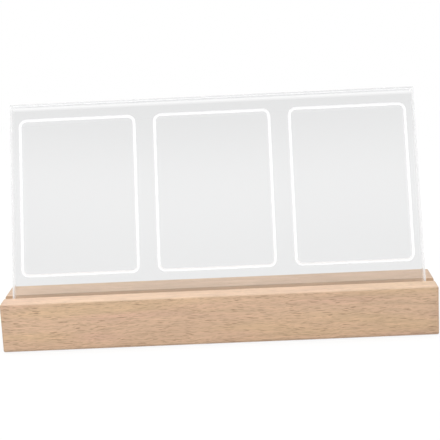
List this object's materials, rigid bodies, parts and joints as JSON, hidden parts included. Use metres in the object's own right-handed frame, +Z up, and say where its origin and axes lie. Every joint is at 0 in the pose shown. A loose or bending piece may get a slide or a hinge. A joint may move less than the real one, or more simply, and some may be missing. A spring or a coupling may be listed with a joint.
{
  "type": "acrylic led photo frame",
  "caption": "Clear acrylic picture panel with engraved outlines, leaning back in a slotted beech base that lights its lower edge; power button and inlet behind.",
  "frame": {"origin": "on the surface that the frame stands on, under the middle of the base", "axes": "+X along the base, +Y from the front of the base to its back, +Z up"},
  "size_m": [0.22, 0.0501, 0.1203],
  "materials": {
    "beech": "fine-sawn beech, thin matt oil",
    "clear_acrylic": "clear cast sheet, polished edges, etched outlines",
    "strip_board": "white circuit board",
    "diode": "white case with a pale yellow lens",
    "strip_resistor": "black chip",
    "solder": "bright solder",
    "red_wire": "insulated wire",
    "black_wire": "insulated wire",
    "plug_nylon": "natural nylon",
    "header_nylon": "natural nylon",
    "board_green": "green circuit board",
    "chip_black": "moulded chip",
    "capacitor_can": "bare can",
    "board_resistor": "black chip",
    "socket_steel": "plated steel",
    "tongue_plastic": "black moulded plastic",
    "switch_black": "black moulded plastic",
    "plunger_white": "white moulded plastic",
    "button_plastic": "satin black plastic",
    "plate_plastic": "fine-textured black plastic",
    "screw_steel": "zinc-plated steel",
    "cover_plastic": "fine-textured black plastic",
    "pad_foam": "thin black foam rubber"
  },
  "bodies": {
    "base": {"anti_slip_pad": "pad_foam", "black_wire": "black_wire", "board_capacitor": "capacitor_can", "board_resistor_1": "board_resistor", "board_resistor_2": "board_resistor", "board_resistor_3": "board_resistor", "board_screw_1": "screw_steel", "board_screw_2": "screw_steel", "bottom_cover": "cover_plastic", "controller_chip": "chip_black", "cover_screw_1": "screw_steel", "cover_screw_2": "screw_steel", "cover_screw_3": "screw_steel", "cover_screw_4": "screw_steel", "cover_screw_5": "screw_steel", "cover_screw_6": "screw_steel", "led_chip_1": "diode", "led_chip_10": "diode", "led_chip_11": "diode", "led_chip_12": "diode", "led_chip_2": "diode", "led_chip_3": "diode", "led_chip_4": "diode", "led_chip_5": "diode", "led_chip_6": "diode", "led_chip_7": "diode", "led_chip_8": "diode", "led_chip_9": "diode", "led_strip_board": "strip_board", "led_strip_resistor_1": "strip_resistor", "led_strip_resistor_2": "strip_resistor", "led_strip_resistor_3": "strip_resistor", "led_strip_resistor_4": "strip_resistor", "power_board": "board_green", "rear_plate": "plate_plastic", "rear_plate_screw_1": "screw_steel", "rear_plate_screw_2": "screw_steel", "red_wire": "red_wire", "solder_joint_1": "solder", "solder_joint_2": "solder", "switch_body": "switch_black", "usb_socket_shell": "socket_steel", "usb_socket_tongue": "tongue_plastic", "wire_header": "header_nylon", "wire_plug": "plug_nylon", "wooden_base": "beech"},
    "panel": {"acrylic_panel": "clear_acrylic"},
    "power_button": {"button_cap": "button_plastic", "switch_plunger": "plunger_white"}
  },
  "joints": [
    {"name": "panel_lift", "type": "slide", "parent": "base", "child": "panel", "axis": [0, 0.342, 0.9397], "range_m": [0, 0.03]},
    {"name": "power_button", "type": "slide", "parent": "base", "child": "power_button", "axis": [0, -1, 0], "range_m": [0, 0.0008], "stiffness_N_per_m": 1500, "springref_m": -0.0003}
  ]
}
